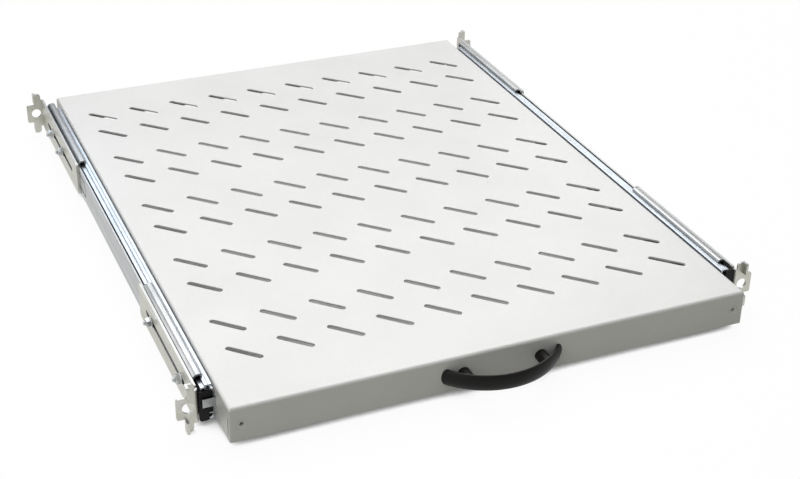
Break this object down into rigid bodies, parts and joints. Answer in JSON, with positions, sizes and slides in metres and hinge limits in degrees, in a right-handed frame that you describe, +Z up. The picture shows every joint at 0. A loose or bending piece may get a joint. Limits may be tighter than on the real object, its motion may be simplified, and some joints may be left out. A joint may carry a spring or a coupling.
{
  "type": "sliding rack shelf",
  "caption": "Slotted pull-out sheet-metal shelf for a nineteen-inch rack, on telescopic ball slides with adjustable screw-on brackets and a bow handle in front.",
  "frame": {"origin": "midway between the two front rack screw holes, on the ears' rear faces, which lie on the rack's front uprights", "axes": "+X to the right seen from the front, +Y to the rear of the rack, +Z up; the shelf slides out along -Y"},
  "size_m": [0.4826, 0.5984, 0.0398],
  "materials": {
    "tray_paint": "light grey fine-textured powder coat",
    "slide_zinc": "bright zinc-plated rolled steel",
    "bracket_zinc": "slightly yellow zinc plate",
    "hardware_zinc": "bright zinc-plated hardware",
    "cage_steel": "plain thin strip",
    "ball_steel": "polished bearing steel",
    "handle_plastic": "satin black moulded plastic",
    "slide_plastic": "matt black moulded plastic"
  },
  "bodies": {
    "rack_side": {"left_outer_rail": "slide_zinc", "front_left_bracket": "bracket_zinc", "rear_left_bracket": "bracket_zinc", "left_bracket_studs": "hardware_zinc", "left_bracket_nuts": "hardware_zinc", "left_rear_buffer": "slide_plastic", "right_outer_rail": "slide_zinc", "front_right_bracket": "bracket_zinc", "rear_right_bracket": "bracket_zinc", "right_bracket_studs": "hardware_zinc", "right_bracket_nuts": "hardware_zinc", "right_rear_buffer": "slide_plastic"},
    "shelf": {"tray": "tray_paint", "handle": "handle_plastic", "handle_screws": "hardware_zinc", "front_inserts": "tray_paint", "left_inner_rail": "slide_zinc", "left_rail_rivets": "hardware_zinc", "left_lever_pin": "hardware_zinc", "left_end_cap": "slide_plastic", "right_inner_rail": "slide_zinc", "right_rail_rivets": "hardware_zinc", "right_lever_pin": "hardware_zinc", "right_end_cap": "slide_plastic"},
    "left_middle": {"left_middle_rail": "slide_zinc", "left_front_stop": "slide_plastic"},
    "left_outer_carriage": {"left_outer_cage": "cage_steel", "left_outer_balls": "ball_steel"},
    "left_inner_carriage": {"left_inner_cage": "cage_steel", "left_inner_balls": "ball_steel"},
    "left_lever": {"left_release_lever": "slide_plastic"},
    "right_middle": {"right_middle_rail": "slide_zinc", "right_front_stop": "slide_plastic"},
    "right_outer_carriage": {"right_outer_cage": "cage_steel", "right_outer_balls": "ball_steel"},
    "right_inner_carriage": {"right_inner_cage": "cage_steel", "right_inner_balls": "ball_steel"},
    "right_lever": {"right_release_lever": "slide_plastic"}
  },
  "joints": [
    {"name": "shelf_slide", "type": "slide", "parent": "rack_side", "child": "shelf", "axis": [0, -1, 0], "range_m": [0, 0.44]},
    {"name": "left_middle_slide", "type": "slide", "parent": "rack_side", "child": "left_middle", "axis": [0, -1, 0], "range_m": [-0.001, 0.145]},
    {"name": "left_outer_carriage_slide", "type": "slide", "parent": "rack_side", "child": "left_outer_carriage", "axis": [0, -1, 0], "range_m": [-0.001, 0.073]},
    {"name": "left_inner_carriage_slide", "type": "slide", "parent": "rack_side", "child": "left_inner_carriage", "axis": [0, -1, 0], "range_m": [-0.001, 0.293]},
    {"name": "left_lever_pivot", "type": "hinge", "parent": "shelf", "child": "left_lever", "pos_m": [-0.2157, 0.036, 0], "axis": [-1, 0, 0], "range_deg": [0, 6], "stiffness_Nm_per_rad": 0.05, "springref_deg": -5.73},
    {"name": "right_middle_slide", "type": "slide", "parent": "rack_side", "child": "right_middle", "axis": [0, -1, 0], "range_m": [-0.001, 0.145]},
    {"name": "right_outer_carriage_slide", "type": "slide", "parent": "rack_side", "child": "right_outer_carriage", "axis": [0, -1, 0], "range_m": [-0.001, 0.073]},
    {"name": "right_inner_carriage_slide", "type": "slide", "parent": "rack_side", "child": "right_inner_carriage", "axis": [0, -1, 0], "range_m": [-0.001, 0.293]},
    {"name": "right_lever_pivot", "type": "hinge", "parent": "shelf", "child": "right_lever", "pos_m": [0.2157, 0.036, 0], "axis": [1, 0, 0], "range_deg": [0, 6], "stiffness_Nm_per_rad": 0.05, "springref_deg": -5.73}
  ],
  "couplings": [
    {"joint": "left_middle_slide", "follows": "shelf_slide", "ratio": 0.32727},
    {"joint": "left_outer_carriage_slide", "follows": "shelf_slide", "ratio": 0.16364},
    {"joint": "left_inner_carriage_slide", "follows": "shelf_slide", "ratio": 0.66364},
    {"joint": "right_middle_slide", "follows": "shelf_slide", "ratio": 0.32727},
    {"joint": "right_outer_carriage_slide", "follows": "shelf_slide", "ratio": 0.16364},
    {"joint": "right_inner_carriage_slide", "follows": "shelf_slide", "ratio": 0.66364}
  ]
}
